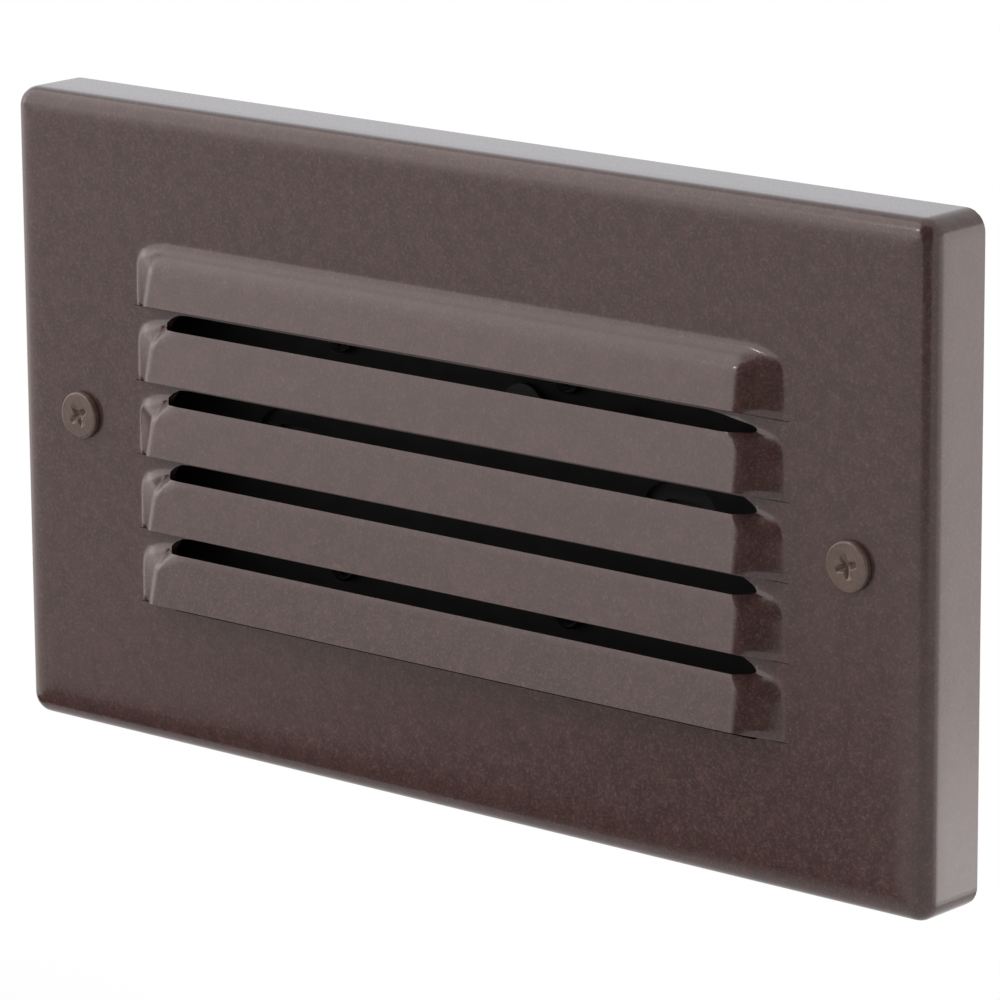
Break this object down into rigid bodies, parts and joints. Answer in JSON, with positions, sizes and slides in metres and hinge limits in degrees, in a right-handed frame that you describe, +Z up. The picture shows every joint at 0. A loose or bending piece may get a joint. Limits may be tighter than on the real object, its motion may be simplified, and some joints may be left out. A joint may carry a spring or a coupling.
{
  "type": "step light",
  "caption": "Louvred recessed step light: a drawn steel faceplate held by two captive screws over a light tray, a downward LED lamp channel and a driver that sits in the wall box.",
  "frame": {"origin": "centre of the faceplate in the plane of the wall", "axes": "+X to the right as seen from the front, +Y into the wall, +Z up"},
  "size_m": [0.194, 0.0526, 0.11],
  "materials": {
    "bronze_faceplate": "oil-rubbed bronze powder coat on sheet steel, satin with a fine coppery fleck",
    "bronze_screw": "bronze-plated steel, satin",
    "nylon_black": "moulded black nylon",
    "foam_rubber": "closed-cell foam rubber, fine-pored",
    "zinc_black_steel": "black zinc-plated sheet steel",
    "spring_steel": "phosphated spring steel",
    "green_zinc": "green dyed zinc plate",
    "black_paint": "matt black paint on sheet steel",
    "seal_rubber": "extruded rubber trim",
    "black_anodised": "black anodised extrusion",
    "black_oxide": "black oxide steel",
    "silicone_grey": "soft grey silicone",
    "white_board": "aluminium-cored board with white solder mask",
    "phosphor_yellow": "yellow phosphor in a white frame",
    "connector_white": "moulded white nylon",
    "frosted_clear": "frosted polycarbonate",
    "lead_grey": "dark grey PVC insulation",
    "lead_black": "black PVC insulation",
    "case_black": "fine-textured black flame-retardant plastic",
    "board_green": "glass-epoxy board with green solder mask",
    "zinc_bright": "bright zinc plate",
    "terminal_grey": "moulded light grey nylon",
    "ferrite_tape": "ferrite core with yellow polyester tape",
    "electrolytic_sleeve": "shrunk sleeve with a bare aluminium top",
    "film_yellow": "yellow box capacitor",
    "ferrite_grey": "ferrite drum with a copper winding",
    "chip_black": "black moulding compound",
    "fuse_brown": "brown moulded cap"
  },
  "bodies": {
    "base": {"wall_gasket": "foam_rubber", "mounting_frame": "zinc_black_steel", "cover_clip_nuts": "spring_steel", "ground_screw": "green_zinc", "light_tray": "black_paint", "tray_seal": "seal_rubber", "lamp_channel": "black_anodised", "channel_end_caps": "nylon_black", "channel_screws": "black_oxide", "assembly_screws": "black_oxide", "thermal_pad": "silicone_grey", "led_strip_board": "white_board", "led_chips": "phosphor_yellow", "strip_connector": "connector_white", "lens": "frosted_clear", "positive_lead": "lead_grey", "negative_lead": "lead_black", "lead_clips": "nylon_black", "lead_grommet": "seal_rubber", "driver_lid": "case_black", "driver_case": "case_black", "driver_board": "board_green", "board_screws": "zinc_bright", "terminal_block": "terminal_grey", "output_connector": "connector_white", "driver_transformer": "ferrite_tape", "driver_electrolytics": "electrolytic_sleeve", "driver_film_capacitor": "film_yellow", "driver_choke": "ferrite_grey", "driver_rectifier": "chip_black", "driver_controller": "chip_black", "driver_fuse": "fuse_brown"},
    "faceplate": {"faceplate": "bronze_faceplate"},
    "left_cover_screw": {"left_cover_screw": "bronze_screw", "left_retaining_washer": "nylon_black"},
    "right_cover_screw": {"right_cover_screw": "bronze_screw", "right_retaining_washer": "nylon_black"}
  },
  "joints": [
    {"name": "faceplate_lift", "type": "slide", "parent": "base", "child": "faceplate", "axis": [0, -1, 0], "range_m": [0, 0.05]},
    {"name": "left_cover_screw_turn", "type": "hinge", "parent": "faceplate", "child": "left_cover_screw", "pos_m": [-0.082, -0.0134, 0], "axis": [0, 1, 0], "continuous": true},
    {"name": "right_cover_screw_turn", "type": "hinge", "parent": "faceplate", "child": "right_cover_screw", "pos_m": [0.082, -0.0134, 0], "axis": [0, 1, 0], "continuous": true}
  ]
}
